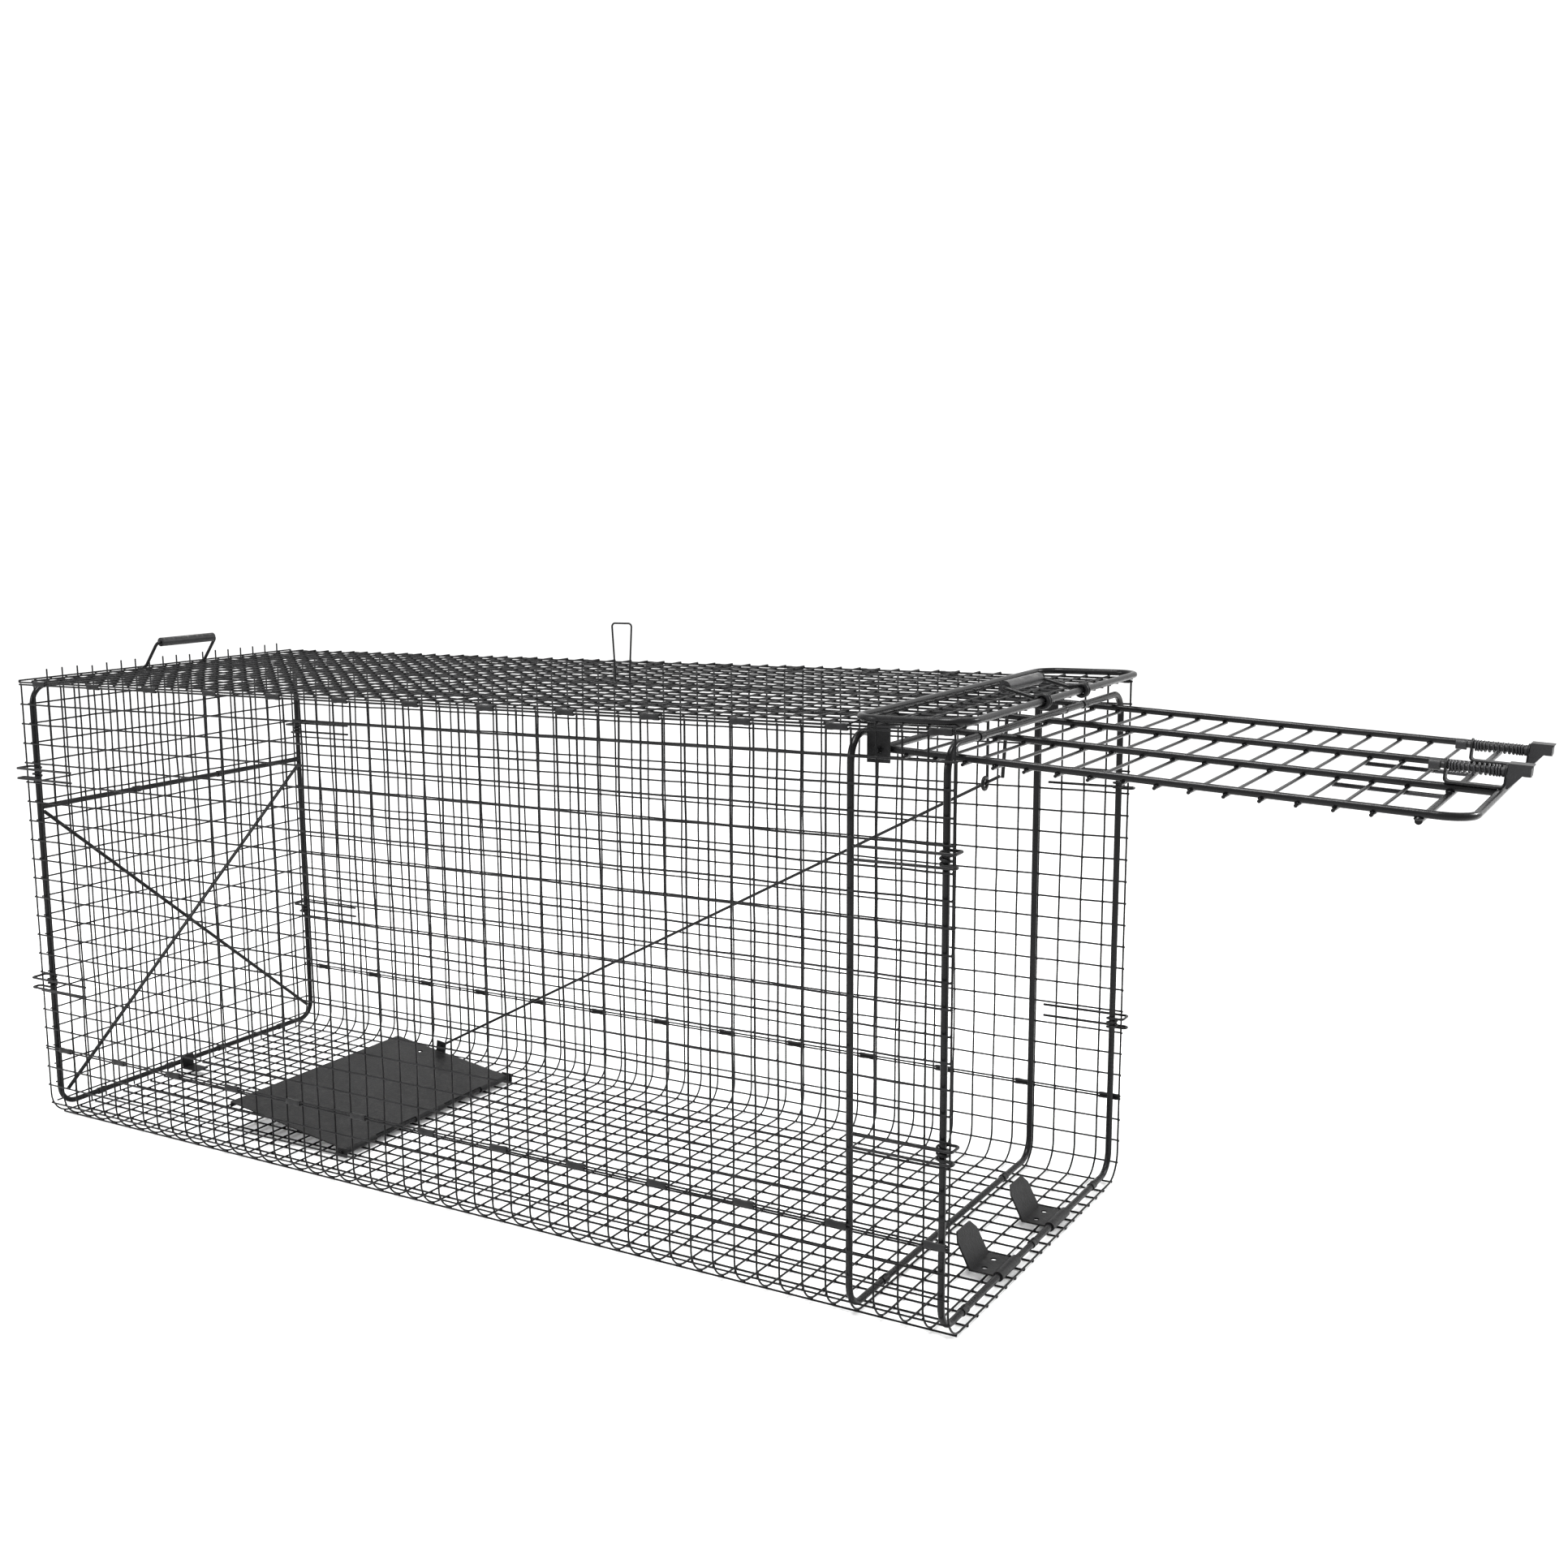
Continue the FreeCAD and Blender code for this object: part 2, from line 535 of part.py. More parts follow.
def save_frames():
    """The rod frames, their braces and fastenings."""
    save("front_hoop", [hoop(FRONT_HOOP_X, FRONT_HOOP_Z)])
    save("stop_hoop", [hoop(STOP_HOOP_X, STOP_HOOP_Z)])
    save("rear_hoop", [hoop(REAR_HOOP_X, REAR_HOOP_Z)])
    inner = POST_Y - ROD_R
    start = V(REAR_HOOP_X, -inner, REAR_BAR_Z)
    save("rear_cross_bar", [rod(start, start + Y_AXIS * (2 * inner), ROD_R)])
    high = REAR_BAR_Z - ROD_R - BRACE_R - 1
    low = REAR_HOOP_Z[0] + 20
    for name, side, x in (("a", -1, REAR_HOOP_X), ("b", 1, REAR_HOOP_X + 2 * BRACE_R)):
        start = V(x, side * (inner - BRACE_R - 1), high)
        save("rear_brace_" + name, [rod(start, V(x, -side * (inner - BRACE_R - 3), low), BRACE_R)])
    behind, ahead = TOP_FRAME_X
    corners = [V(behind, -TOP_FRAME_Y, TOP_FRAME_Z), V(ahead, -TOP_FRAME_Y, TOP_FRAME_Z)]
    corners += [V(ahead, TOP_FRAME_Y, TOP_FRAME_Z), V(behind, TOP_FRAME_Y, TOP_FRAME_Z)]
    save("roof_front_frame", [bent_rod(corners, ROD_R, HOOP_BEND, closed=True)])
    front_clips = rod_clips(FRONT_HOOP_X, FRONT_HOOP_Z[0], (-190.5, 0.0, 190.5))
    front_clips += rod_clips(FRONT_HOOP_X, FRONT_HOOP_Z[1], (-170.0, 120.0))
    save("front_rod_clips", front_clips)
    save("stop_rod_clips", rod_clips(STOP_HOOP_X, STOP_HOOP_Z[0], (-165.0, 165.0)))
    save("rear_rod_clips", rod_clips(REAR_HOOP_X, REAR_HOOP_Z[0], (-177.8, -50.8, 50.8, 177.8)))
    save("rear_bar_clips", rod_clips(REAR_HOOP_X, REAR_BAR_Z, (-80.0, 80.0)))
    save("rear_stop_bracket", [rear_stop()])


def save_door():
    """The door, its latch bolts, hinge brackets and strikes."""
    save("door_frame", [door_frame()], DOOR_DROP)
    across = DOOR_HALF - ROD_R - 0.1
    save("door_rear_bar", [rod(V(PIVOT_X, -across, PIVOT_Z), V(PIVOT_X, across, PIVOT_Z), ROD_R)], DOOR_DROP)
    start = PIVOT_X + ROD_R
    end = PIVOT_X + DOOR_LONG - ROD_R
    mids = [rod(V(start, y, PIVOT_Z), V(end, y, PIVOT_Z), ROD_R) for y in (-MID_ROD_Y, MID_ROD_Y)]
    save("door_middle_rods", mids, DOOR_DROP)
    z = PIVOT_Z - ROD_R - CROSS_WIRE_R - 0.02
    half = DOOR_HALF + 7
    places = steps(PIVOT_X + CROSS_FIRST, CROSS_WIRES, CROSS_STEP)
    wires = [rod(V(x, -half, z), V(x, half, z), CROSS_WIRE_R) for x in places]
    save("door_cross_wires", wires, DOOR_DROP)
    x, z = PIVOT_X + END_BAR_AT, PIVOT_Z - ROD_R - END_BAR_R - 0.02
    save("door_latch_bar", [rod(V(x, -DOOR_HALF, z), V(x, DOOR_HALF, z), END_BAR_R)], DOOR_DROP)
    z = PIVOT_Z - ROD_R - 2 * CROSS_WIRE_R - DOUBLER_R - 0.06
    start, end = PIVOT_X + DOUBLER_FROM, x - END_BAR_R - 0.3
    doublers = [rod(V(start, y, z), V(end, y, z), DOUBLER_R) for y in (-MID_ROD_Y, MID_ROD_Y)]
    save("door_doubler_rods", doublers, DOOR_DROP)
    save("door_trip_lever", [trip_lever()], DOOR_DROP)
    for name, side in SIDES.items():
        save("hinge_bracket_" + name, [hinge_bracket(side)])
        save("hinge_rivets_" + name, bracket_rivets(side))
        save("strike_plate_" + name, [strike(side)])
        save("latch_carrier_" + name, [latch_carrier(side * MID_ROD_Y)], DOOR_DROP)
        save("latch_bolt_" + name, [latch_bolt(side * MID_ROD_Y)], DOOR_DROP)
        save("latch_spring_" + name, [latch_spring(side * MID_ROD_Y)], DOOR_DROP)


def save_trigger():
    """The treadle, its axle and the rod that drops the door."""
    save("treadle_plate", [treadle()])
    end = TREADLE_HALF + 6
    save("treadle_axle", [rod(V(AXLE_X, -end, AXLE_Z), V(AXLE_X, end, AXLE_Z), AXLE_R)])
    save("treadle_bearings", [axle_bearing(side) for side in SIDES.values()])
    save("trigger_rod", [trigger_rod()])
    save("trigger_guide_eye", [trigger_guide()])


def save_handles():
    """The two carry handles, the roof loop and the eight hairpin locks."""
    lean = math.radians(REAR_HANDLE_LEAN)
    reach = V(math.sin(lean), 0, math.cos(lean)) * REAR_HANDLE_LONG
    rear = V(REAR_HOOP_X, 0, REAR_HOOP_Z[1])
    front = V(TOP_FRAME_X[1], 0, TOP_FRAME_Z)
    for name, hinge, grip, half in (
        ("front", front, front + FRONT_HANDLE_REACH, FRONT_HANDLE_HALF),
        ("rear", rear, rear + reach, REAR_HANDLE_HALF),
    ):
        save(name + "_handle_bail", [bail(hinge, grip, half)])
        save(name + "_handle_grip", [grip_tube(grip, half)])
    save("roof_keeper_loop", [keeper_loop()])
    for level, z in PIN_HEIGHTS.items():
        for name, side in SIDES.items():
            save("_".join(("front_hairpin", name, level)), [hairpin(FRONT_HOOP_X, side, z, **FRONT_PIN)])
            save("_".join(("rear_hairpin", name, level)), [hairpin(REAR_HOOP_X, side, z, **REAR_PIN)])


os.makedirs("parts", exist_ok=True)
save_cage()
save_frames()
save_door()
save_trigger()
save_handles()
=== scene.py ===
"""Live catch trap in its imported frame: wavy mesh wires with their welds, wrapped clips, bent latch straps,
coiled locks and hooked handles stand in for the plain CAD solids, and every part gets a black coat."""
import json
import math
import bpy
from mathutils import Matrix, Vector, noise


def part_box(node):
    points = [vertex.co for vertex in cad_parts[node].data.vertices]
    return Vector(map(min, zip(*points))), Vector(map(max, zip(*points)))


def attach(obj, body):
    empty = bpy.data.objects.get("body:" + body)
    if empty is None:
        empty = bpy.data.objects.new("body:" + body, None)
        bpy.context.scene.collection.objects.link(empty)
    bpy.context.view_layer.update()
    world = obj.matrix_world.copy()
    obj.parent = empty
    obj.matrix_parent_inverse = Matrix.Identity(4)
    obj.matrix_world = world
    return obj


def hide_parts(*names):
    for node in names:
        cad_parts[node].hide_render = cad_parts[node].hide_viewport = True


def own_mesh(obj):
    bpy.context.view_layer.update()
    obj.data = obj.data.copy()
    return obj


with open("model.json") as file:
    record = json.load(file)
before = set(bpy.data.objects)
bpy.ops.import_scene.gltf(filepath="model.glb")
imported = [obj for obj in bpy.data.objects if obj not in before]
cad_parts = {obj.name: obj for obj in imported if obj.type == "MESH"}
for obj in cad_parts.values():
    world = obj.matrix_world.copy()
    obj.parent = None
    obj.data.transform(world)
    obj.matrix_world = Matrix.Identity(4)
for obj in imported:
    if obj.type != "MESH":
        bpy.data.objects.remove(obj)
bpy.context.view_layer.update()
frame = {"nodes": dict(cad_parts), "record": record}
WANDER_SEED = 7
noise.seed_set(WANDER_SEED)

X_AXIS = Vector((1, 0, 0))
Y_AXIS = Vector((0, 1, 0))
Z_AXIS = Vector((0, 0, 1))
SIDES = {"near": -1, "far": 1}

# Cage mesh, in metres
WIRE_R = 0.0011
LAYER = 0.00222
CELLS_LONG = 50
CELLS_WIDE = 20
SIDE_ROWS = 19
TRAY_BEND = 0.030
ROD_R = 0.0035

roof_low, roof_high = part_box("roof_mesh")
side_low, side_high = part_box("side_mesh_near")
tray_low, tray_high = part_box("floor_tray_mesh")
HALF_LONG = roof_high.x - WIRE_R
HALF_WIDE = roof_high.y - WIRE_R
PITCH = 2 * HALF_LONG / CELLS_LONG
WALL = HALF_WIDE - LAYER
FLOOR_Z = tray_low.z + WIRE_R + LAYER
ROOF_Z = roof_high.z - WIRE_R - LAYER
SIDE_TOP = side_high.z - WIRE_R
TRAY_TOP = tray_high.z - WIRE_R
POST_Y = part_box("rear_hoop")[1].y - ROD_R


# Shapes

class Piece:
    """The vertices and faces of one object while it is built."""

    def __init__(self):
        self.verts = []
        self.faces = []

    def sweep(self, points, radii, sides=8, closed=False):
        """A round bar through the points, with one radius or one for each point."""
        count = len(points)
        if not isinstance(radii, (list, tuple)):
            radii = [radii] * count
        first = len(self.verts)
        normal = None
        for k, point in enumerate(points):
            back = points[k - 1] if closed or k else point
            ahead = points[(k + 1) % count] if closed or k < count - 1 else point
            along = (ahead - back).normalized()
            if normal is None:
                normal = along.orthogonal().normalized()
            normal = (normal - along * normal.dot(along)).normalized()
            other = along.cross(normal)
            for s in range(sides):
                turn = 2 * math.pi * s / sides
                self.verts.append(point + (normal * math.cos(turn) + other * math.sin(turn)) * radii[k])
        for k in range(count if closed else count - 1):
            here, there = first + k * sides, first + (k + 1) % count * sides
            for s in range(sides):
                t = (s + 1) % sides
                self.faces.append((here + s, here + t, there + t, there + s))
        if not closed:
            self.faces.append(tuple(range(first + sides - 1, first - 1, -1)))
            last = first + (count - 1) * sides
            self.faces.append(tuple(range(last, last + sides)))

    def cut_bar(self, points, radius, sides=8):
        """A round bar whose cut ends are slightly rounded."""
        lead = (points[0] - points[1]).normalized() * radius * 0.35
        tail = (points[-1] - points[-2]).normalized() * radius * 0.35
        inner = [points[0] - lead] + points[1:-1] + [points[-1] - tail]
        radii = [radius * 0.7] + [radius] * len(inner) + [radius * 0.7]
        self.sweep([points[0]] + inner + [points[-1]], radii, sides)

    def bead(self, centre, size, turn=0.0):
        """A small lump of weld, size being its half width in x, y and z."""
        first = len(self.verts)
        levels = (-0.62, 0.0, 0.62)
        around = 6
        self.verts.append(centre - Z_AXIS * size.z)
        for level in levels:
            wide = math.sqrt(1 - level * level)
            for s in range(around):
                angle = turn + 2 * math.pi * s / around
                flat = wide * size.x * math.cos(angle), wide * size.y * math.sin(angle)
                self.verts.append(centre + Vector((*flat, level * size.z)))
        self.verts.append(centre + Z_AXIS * size.z)
        last = len(self.verts) - 1
        for s in range(around):
            t = (s + 1) % around
            self.faces.append((first, first + 1 + t, first + 1 + s))
            for ring in range(len(levels) - 1):
                low = first + 1 + ring * around
                self.faces.append((low + s, low + t, low + around + t, low + around + s))
            top = first + 1 + (len(levels) - 1) * around
            self.faces.append((top + s, top + t, last))

    def extrude(self, outlines):
        """A closed outline carried through several stations, each given as its own list of points."""
        first = len(self.verts)
        size = len(outlines[0])
        for outline in outlines:
            self.verts += outline
        for k in range(len(outlines) - 1):
            here = first + k * size
            for s in range(size):
                t = (s + 1) % size
                self.faces.append((here + s, here + t, here + size + t, here + size + s))
        self.faces.append(tuple(range(first + size - 1, first - 1, -1)))
        last = first + (len(outlines) - 1) * size
        self.faces.append(tuple(range(last, last + size)))

    def washer(self, centre, axis, radii, thick):
        """A flat ring with slightly eased rims, radii being its bore and its rim."""
        first = len(self.verts)
        inner, outer = radii
        ease = thick * 0.2
        lower = [(inner, -0.5), (outer - ease, -0.5), (outer, -0.3)]
        section = lower + [(reach, -part) for reach, part in reversed(lower)]
        across = axis.orthogonal().normalized()
        other = axis.cross(across)
        around = 28
        for s in range(around):
            turn = 2 * math.pi * s / around
            out = across * math.cos(turn) + other * math.sin(turn)
            self.verts += [centre + out * reach + axis * (part * thick) for reach, part in section]
        size = len(section)
        for s in range(around):
            here, there = first + s * size, first + (s + 1) % around * size
            for k in range(size):
                n = (k + 1) % size
                self.faces.append((here + k, here + n, there + n, there + k))

    def place(self, name, finish, body, replaces=(), smooth=55):
        """Make the object, put it on its body and let it stand for its CAD nodes."""
        mesh = bpy.data.meshes.new(name)
        mesh.from_pydata(self.verts, [], self.faces)
        mesh.validate()
        mesh.shade_smooth()
        mesh.set_sharp_from_angle(angle=math.radians(smooth))
        item = bpy.data.objects.new(name, mesh)
        bpy.context.scene.collection.objects.link(item)
        item.data.materials.append(coats[finish])
        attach(item, body)
        if replaces:
            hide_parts(*replaces)
        return item


def rounded(points, bend, steps=6):
    """A polyline with its inner corners turned into arcs."""
    path = [points[0]]
    for k in range(1, len(points) - 1):
        back = (points[k - 1] - points[k]).normalized()
        ahead = (points[k + 1] - points[k]).normalized()
        half = back.angle(ahead) / 2
        centre = points[k] + (back + ahead).normalized() * (bend / math.sin(half))
        start = points[k] + back * (bend / math.tan(half)) - centre
        end = points[k] + ahead * (bend / math.tan(half)) - centre
        whole = start.angle(end)
        for s in range(steps + 1):
            part = s / steps
            mix = start * math.sin((1 - part) * whole) + end * math.sin(part * whole)
            path.append(centre + mix / math.sin(whole))
    return path + [points[-1]]


def ramp(value, start, end):
    """0 before start, 1 after end and a smooth rise between."""
    part = min(max((value - start) / (end - start), 0), 1)
    return part * part * (3 - 2 * part)


# How the mesh wires wander

hoops_x = [sum((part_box(name)[k].x for k in (0, 1))) / 2 for name in ("front_hoop", "stop_hoop", "rear_hoop")]
keeper_x = sum(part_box("roof_keeper_loop")[k].x for k in (0, 1)) / 2


def quiet(x, across, limit):
    """How free a wire is to wander: not at the panel's edges, nor beside a hoop."""
    free = ramp(limit - abs(across), 0.005, 0.045) * ramp(HALF_LONG - abs(x), 0.01, 0.05)
    for hoop_x in hoops_x:
        free *= ramp(abs(x - hoop_x), 0.012, 0.04)
    return free


def wander(point, panel):
    """Where a point of a mesh wire really lies."""
    drift = noise.noise_vector(point * 9) * 0.0011 + noise.noise_vector(point * 31) * 0.0005
    if panel == "roof":
        free = quiet(point.x, point.y, HALF_WIDE)
        free *= ramp((Vector((point.x, point.y, 0)) - X_AXIS * keeper_x).length, 0.02, 0.07)
        return point + Vector((drift.x, drift.y, -abs(drift.z) * 1.6)) * free
    if panel == "floor":
        free = quiet(point.x, point.y, WALL - TRAY_BEND)
        return point + Vector((drift.x, drift.y, 0)) * free * 0.8
    if panel == "rear":
        free = ramp(POST_Y - abs(point.y), 0.01, 0.05) * ramp(ROOF_Z - point.z, 0.0, 0.05)
        return point + Vector((0, drift.y, drift.z)) * free
    middle = (SIDE_TOP + TRAY_TOP) / 2
    free = quiet(point.x, point.z - middle, SIDE_TOP - middle)
    return point + Vector((drift.x, drift.y * 1.5, drift.z)) * free


def span(first, last, count):
    """Evenly spaced numbers, the ends included."""
    return [first + (last - first) * k / (count - 1) for k in range(count)]


WELD = Vector((0.0019, 0.0019, 0.0019))


def weld_spot(piece, point, flat):
    """A weld where two wires cross; flat is the axis through both wires."""
    size = WELD * (0.92 + 0.16 * noise.noise(point * 400))
    size[flat] = LAYER * 0.52
    piece.bead(point, size, noise.noise(point * 170) * 3)


# Coats

def node_link(tree, kind, **inputs):
    """A shader node with some of its inputs set or linked."""
    node = tree.nodes.new("ShaderNode" + kind)
    for name, value in inputs.items():
        socket = node.inputs[name.replace("_", " ")]
        if isinstance(value, bpy.types.NodeSocket):
            tree.links.new(value, socket)
        else:
            socket.default_value = value
    return node


def coat(name, dark, light, rough, grain, bump, specular, dust_and_highlight, metallic):
    """A black coat with an orange-peel surface and slow changes of tone. What faces up gets a speckled grey
    that is partly dust and partly a painted highlight from light above.
    """
    material = bpy.data.materials.new(name)
    material.use_nodes = True
    tree = material.node_tree
    shader = tree.nodes["Principled BSDF"]
    place = tree.nodes.new("ShaderNodeTexCoord").outputs["Object"]
    slow = node_link(tree, "TexNoise", Vector=place, Scale=26.0, Detail=4.0)
    peel = node_link(tree, "TexNoise", Vector=place, Scale=grain, Detail=3.0, Roughness=0.6)
    specks = node_link(tree, "TexNoise", Vector=place, Scale=grain * 0.35, Detail=6.0, Roughness=0.75)
    tone = tree.nodes.new("ShaderNodeValToRGB")
    tree.links.new(slow.outputs["Fac"], tone.inputs["Fac"])
    tone.color_ramp.elements[0].position = 0.35
    tone.color_ramp.elements[0].color = (*dark, 1)
    tone.color_ramp.elements[1].position = 0.7
    tone.color_ramp.elements[1].color = (*light, 1)
    # Painted highlight and dust: faces that point up get a speckled pale grey, so their tops look lit from
    # above as well as dusty
    facing = node_link(tree, "SeparateXYZ", Vector=tree.nodes.new("ShaderNodeNewGeometry").outputs["Normal"])
    upward = node_link(tree, "MapRange", Value=facing.outputs["Z"], From_Min=0.35, From_Max=1.0, To_Max=dust_and_highlight)
    speck = node_link(tree, "MapRange", Value=specks.outputs["Fac"], From_Min=0.48, From_Max=0.68)
    dust_and_highlight_mask = node_link(tree, "Math")
    dust_and_highlight_mask.operation = "MULTIPLY"
    tree.links.new(upward.outputs[0], dust_and_highlight_mask.inputs[0])
    tree.links.new(speck.outputs[0], dust_and_highlight_mask.inputs[1])
    mix = tree.nodes.new("ShaderNodeMix")
    mix.data_type = "RGBA"
    tree.links.new(dust_and_highlight_mask.outputs[0], mix.inputs["Factor"])
    tree.links.new(tone.outputs["Color"], mix.inputs[6])
    # The pale grey of the dust and of the painted highlight on upward faces
    mix.inputs[7].default_value = (0.20, 0.195, 0.185, 1)
    tree.links.new(mix.outputs[2], shader.inputs["Base Color"])
    gloss = node_link(tree, "MapRange", Value=specks.outputs["Fac"], From_Min=0.3, From_Max=0.7,
                      To_Min=rough - 0.07, To_Max=rough + 0.1)
    tree.links.new(gloss.outputs[0], shader.inputs["Roughness"])
    relief = node_link(tree, "Bump", Height=peel.outputs["Fac"], Strength=bump, Distance=0.0004)
    tree.links.new(relief.outputs[0], shader.inputs["Normal"])
    shader.inputs["Specular IOR Level"].default_value = specular
    shader.inputs["Metallic"].default_value = metallic
    return material


BLACK = (0.0032, 0.0032, 0.0035)
WIRE_SHEEN = (0.009, 0.009, 0.0096)
# Each coat: dark tone, light tone, roughness, grain, bump, specular, dust with painted top highlight, metallic
COATS = {
    "coated_mesh": (BLACK, WIRE_SHEEN, 0.36, 900, 0.25, 0.09, 0.03, 0.0),
    "coated_rod": (BLACK, (0.006, 0.006, 0.0064), 0.26, 620, 0.2, 0.13, 0.05, 0.0),
    "coated_wire": (BLACK, WIRE_SHEEN, 0.3, 900, 0.25, 0.14, 0.08, 0.0),
    "coated_sheet": (BLACK, (0.008, 0.008, 0.0084), 0.42, 420, 0.7, 0.14, 0.1, 0.0),
    "clip_sheet": (BLACK, WIRE_SHEEN, 0.38, 520, 0.5, 0.16, 0.12, 0.0),
    "spring_steel": ((0.012, 0.012, 0.013), (0.035, 0.035, 0.037), 0.3, 1500, 0.3, 0.4, 0.1, 0.6),
    "latch_steel": ((0.006, 0.006, 0.0064), (0.017, 0.017, 0.018), 0.42, 420, 0.9, 0.2, 0.3, 0.0),
    # The grip's large dust value mostly paints a highlight along its top
    "grip_tube": ((0.005, 0.005, 0.0055), (0.014, 0.014, 0.015), 0.34, 420, 0.9, 0.25, 0.7, 0.0),
}
coats = {name: coat(name, *settings) for name, settings in COATS.items()}
for part in frame["record"]["subparts"]:
    for place_slot in frame["nodes"][part["node"]].material_slots:
        place_slot.material = coats[part["material_slot"]]


# Mesh panels

long_x = span(-HALF_LONG, HALF_LONG, CELLS_LONG + 1)
wide_y = span(-HALF_WIDE, HALF_WIDE, CELLS_WIDE + 1)
wire_x = [-HALF_LONG - WIRE_R] + long_x + [HALF_LONG + WIRE_R]


def roof():
    """Long wires below, cross wires above."""
    piece = Piece()
    top = ROOF_Z + LAYER
    for y in wide_y:
        piece.cut_bar([wander(Vector((x, y, ROOF_Z)), "roof") for x in wire_x], WIRE_R)
    ends = [-HALF_WIDE - WIRE_R] + wide_y + [HALF_WIDE + WIRE_R]
    for x in long_x:
        piece.cut_bar([wander(Vector((x, y, ROOF_Z)), "roof") + Z_AXIS * LAYER for y in ends], WIRE_R)
        for y in wide_y:
            weld_spot(piece, wander(Vector((x, y, ROOF_Z)), "roof") + Z_AXIS * (top - ROOF_Z) / 2, 2)
    piece.place("roof_mesh_wires", "coated_mesh", "cage", ["roof_mesh"])


def side_wall(name, side):
    """Upright wires inside, long wires outside."""
    piece = Piece()
    rows = [SIDE_TOP - PITCH * k for k in range(SIDE_ROWS + 1)]
    inward = Y_AXIS * (-side * LAYER)
    for z in rows:
        piece.cut_bar([wander(Vector((x, side * HALF_WIDE, z)), "side") for x in wire_x], WIRE_R)
    ends = [SIDE_TOP + WIRE_R] + rows + [rows[-1] - WIRE_R]
    for x in long_x:
        piece.cut_bar([wander(Vector((x, side * HALF_WIDE, z)), "side") + inward for z in ends], WIRE_R)
        for z in rows:
            weld_spot(piece, wander(Vector((x, side * HALF_WIDE, z)), "side") + inward / 2, 1)
    piece.place("side_mesh_wires_" + name, "coated_mesh", "cage", ["side_mesh_" + name])


def tray_outline():
    """Half of a cross wire's line, from the middle of the floor to the top of the near edge."""
    corner = Vector((0, -WALL, FLOOR_Z))
    top = Vector((0, -WALL, TRAY_TOP + WIRE_R))
    return rounded([Vector((0, -8 * PITCH, FLOOR_Z)), corner, top], TRAY_BEND, 9)


def tray():
    """Cross wires bent into a U, long wires welded under and outside them."""
    piece = Piece()
    near = tray_outline()
    floor_y = [PITCH * k for k in range(-8, 9)]
    for x in long_x:
        bed = [wander(Vector((x, y, FLOOR_Z)), "floor") for y in floor_y]
        left = [p + X_AXIS * x for p in reversed(near)]
        right = [Vector((x, -p.y, p.z)) for p in near]
        piece.cut_bar(left[:-1] + bed + right[1:], WIRE_R)
        for spot in bed:
            weld_spot(piece, spot - Z_AXIS * LAYER / 2, 2)
    for y in floor_y:
        piece.cut_bar([wander(Vector((x, y, FLOOR_Z)), "floor") - Z_AXIS * LAYER for x in wire_x], WIRE_R)
    bend_y = WALL - TRAY_BEND
    bend_z = FLOOR_Z + TRAY_BEND
    for side in SIDES.values():
        rows = [(HALF_WIDE, TRAY_TOP - PITCH * k, 0.5 * LAYER, 0) for k in range(3)]
        for turn in (math.radians(24), math.radians(72)):
            reach = TRAY_BEND + LAYER
            rows.append((bend_y + reach * math.cos(turn), bend_z - reach * math.sin(turn),
                         0.5 * LAYER * math.cos(turn), 0.5 * LAYER * math.sin(turn)))
        for y, z, in_y, in_z in rows:
            piece.cut_bar([Vector((x, side * y, z)) for x in (wire_x[0], 0, wire_x[-1])], WIRE_R)
            for x in long_x:
                weld_spot(piece, Vector((x, side * (y - in_y), z + in_z)), 1 if in_z < in_y else 2)
    piece.place("floor_tray_wires", "coated_mesh", "cage", ["floor_tray_mesh"])


def rear():
    """Uprights in front, level wires behind them, with ends that stand up past the roof."""
    piece = Piece()
    low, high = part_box("rear_mesh")
    front = high.x - WIRE_R
    rows = [SIDE_TOP - PITCH * (k + 1) for k in range(22)]
    columns = [PITCH * (k - 8.5) for k in range(18)]
    for y in columns:
        tall = [low.z] + rows[::-1] + [high.z - 0.004 * abs(noise.noise(Vector((y * 90, 0, 0))))]
        piece.cut_bar([wander(Vector((front, y, z)), "rear") for z in tall], WIRE_R)
    for z in rows:
        wide = [low.y + WIRE_R] + columns + [high.y - WIRE_R]
        piece.cut_bar([wander(Vector((front, y, z)), "rear") - X_AXIS * LAYER for y in wide], WIRE_R)
        for y in columns:
            weld_spot(piece, wander(Vector((front, y, z)), "rear") - X_AXIS * LAYER / 2, 0)
    piece.place("rear_mesh_wires", "coated_mesh", "cage", ["rear_mesh"])


# Clips

def wrap_outline(half_y, half_z, sheet, slit, corner):
    """A C of sheet round a pair of wires, as (y, z) pairs with its slit on the lower inside."""
    outer = []
    for cy, cz, start in ((1, 1, 0), (-1, 1, 90), (-1, -1, 180), (1, -1, 270)):
        for s in range(4):
            turn = math.radians(start + 30 * s)
            outer.append(((half_y - corner) * cy + corner * math.cos(turn),
                          (half_z - corner) * cz + corner * math.sin(turn)))
    outer = [(half_y, slit)] + outer + [(half_y, -slit)]
    shrink = 1 - sheet / half_y, 1 - sheet / half_z
    return outer + [(y * shrink[0], z * shrink[1]) for y, z in reversed(outer)]


